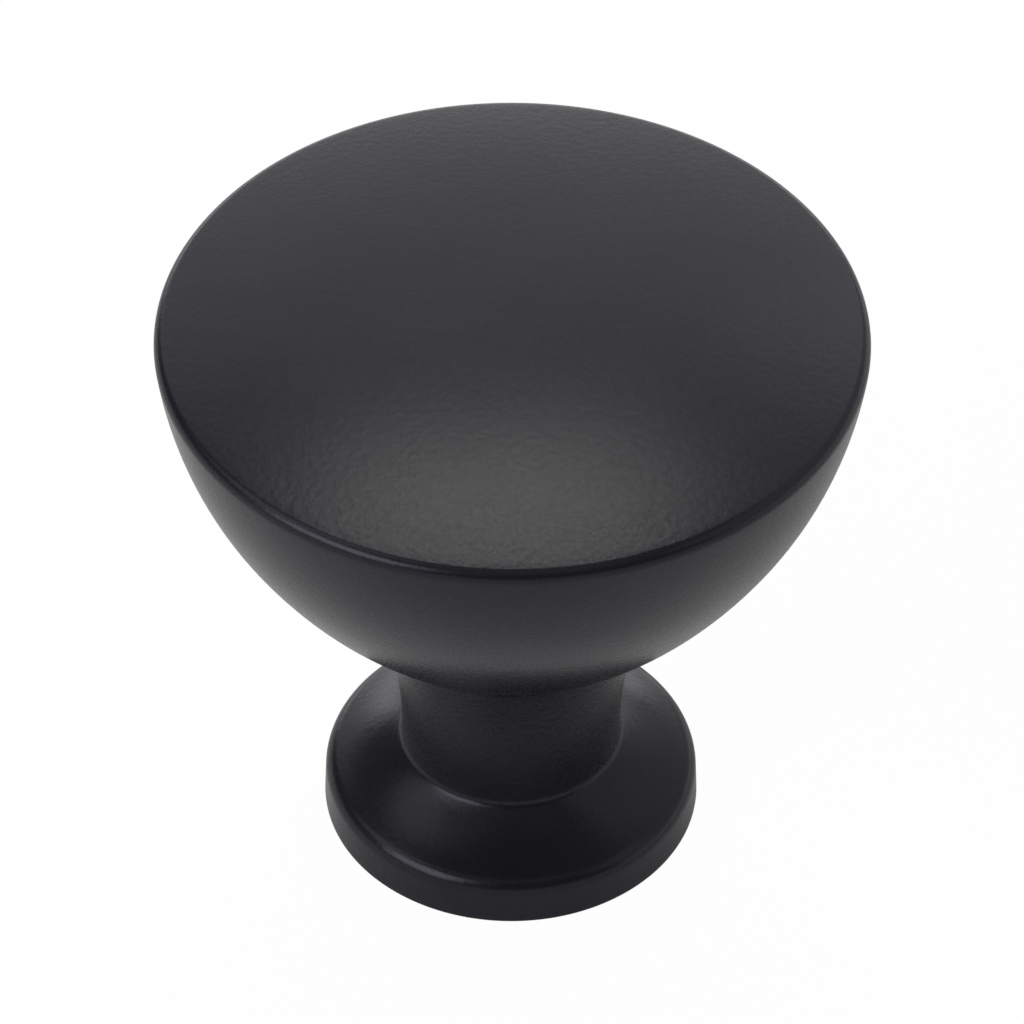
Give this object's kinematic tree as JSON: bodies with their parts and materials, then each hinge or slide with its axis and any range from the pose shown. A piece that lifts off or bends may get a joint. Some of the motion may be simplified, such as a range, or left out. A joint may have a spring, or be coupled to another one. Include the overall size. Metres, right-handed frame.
{
  "type": "cabinet knob",
  "caption": "Round cabinet knob with a low-domed, bowl-shaped head, a waisted neck and a flanged foot, screwed on from behind.",
  "frame": {"origin": "centre of the face that seats on the door", "axes": "+Z along the knob's axis, away from the door, from the seat to the crown"},
  "size_m": [0.032, 0.032, 0.0309],
  "materials": {
    "black_coat": "matte black powder coat with a fine grain"
  },
  "bodies": {
    "root": {"knob": "black_coat"}
  },
  "joints": []
}
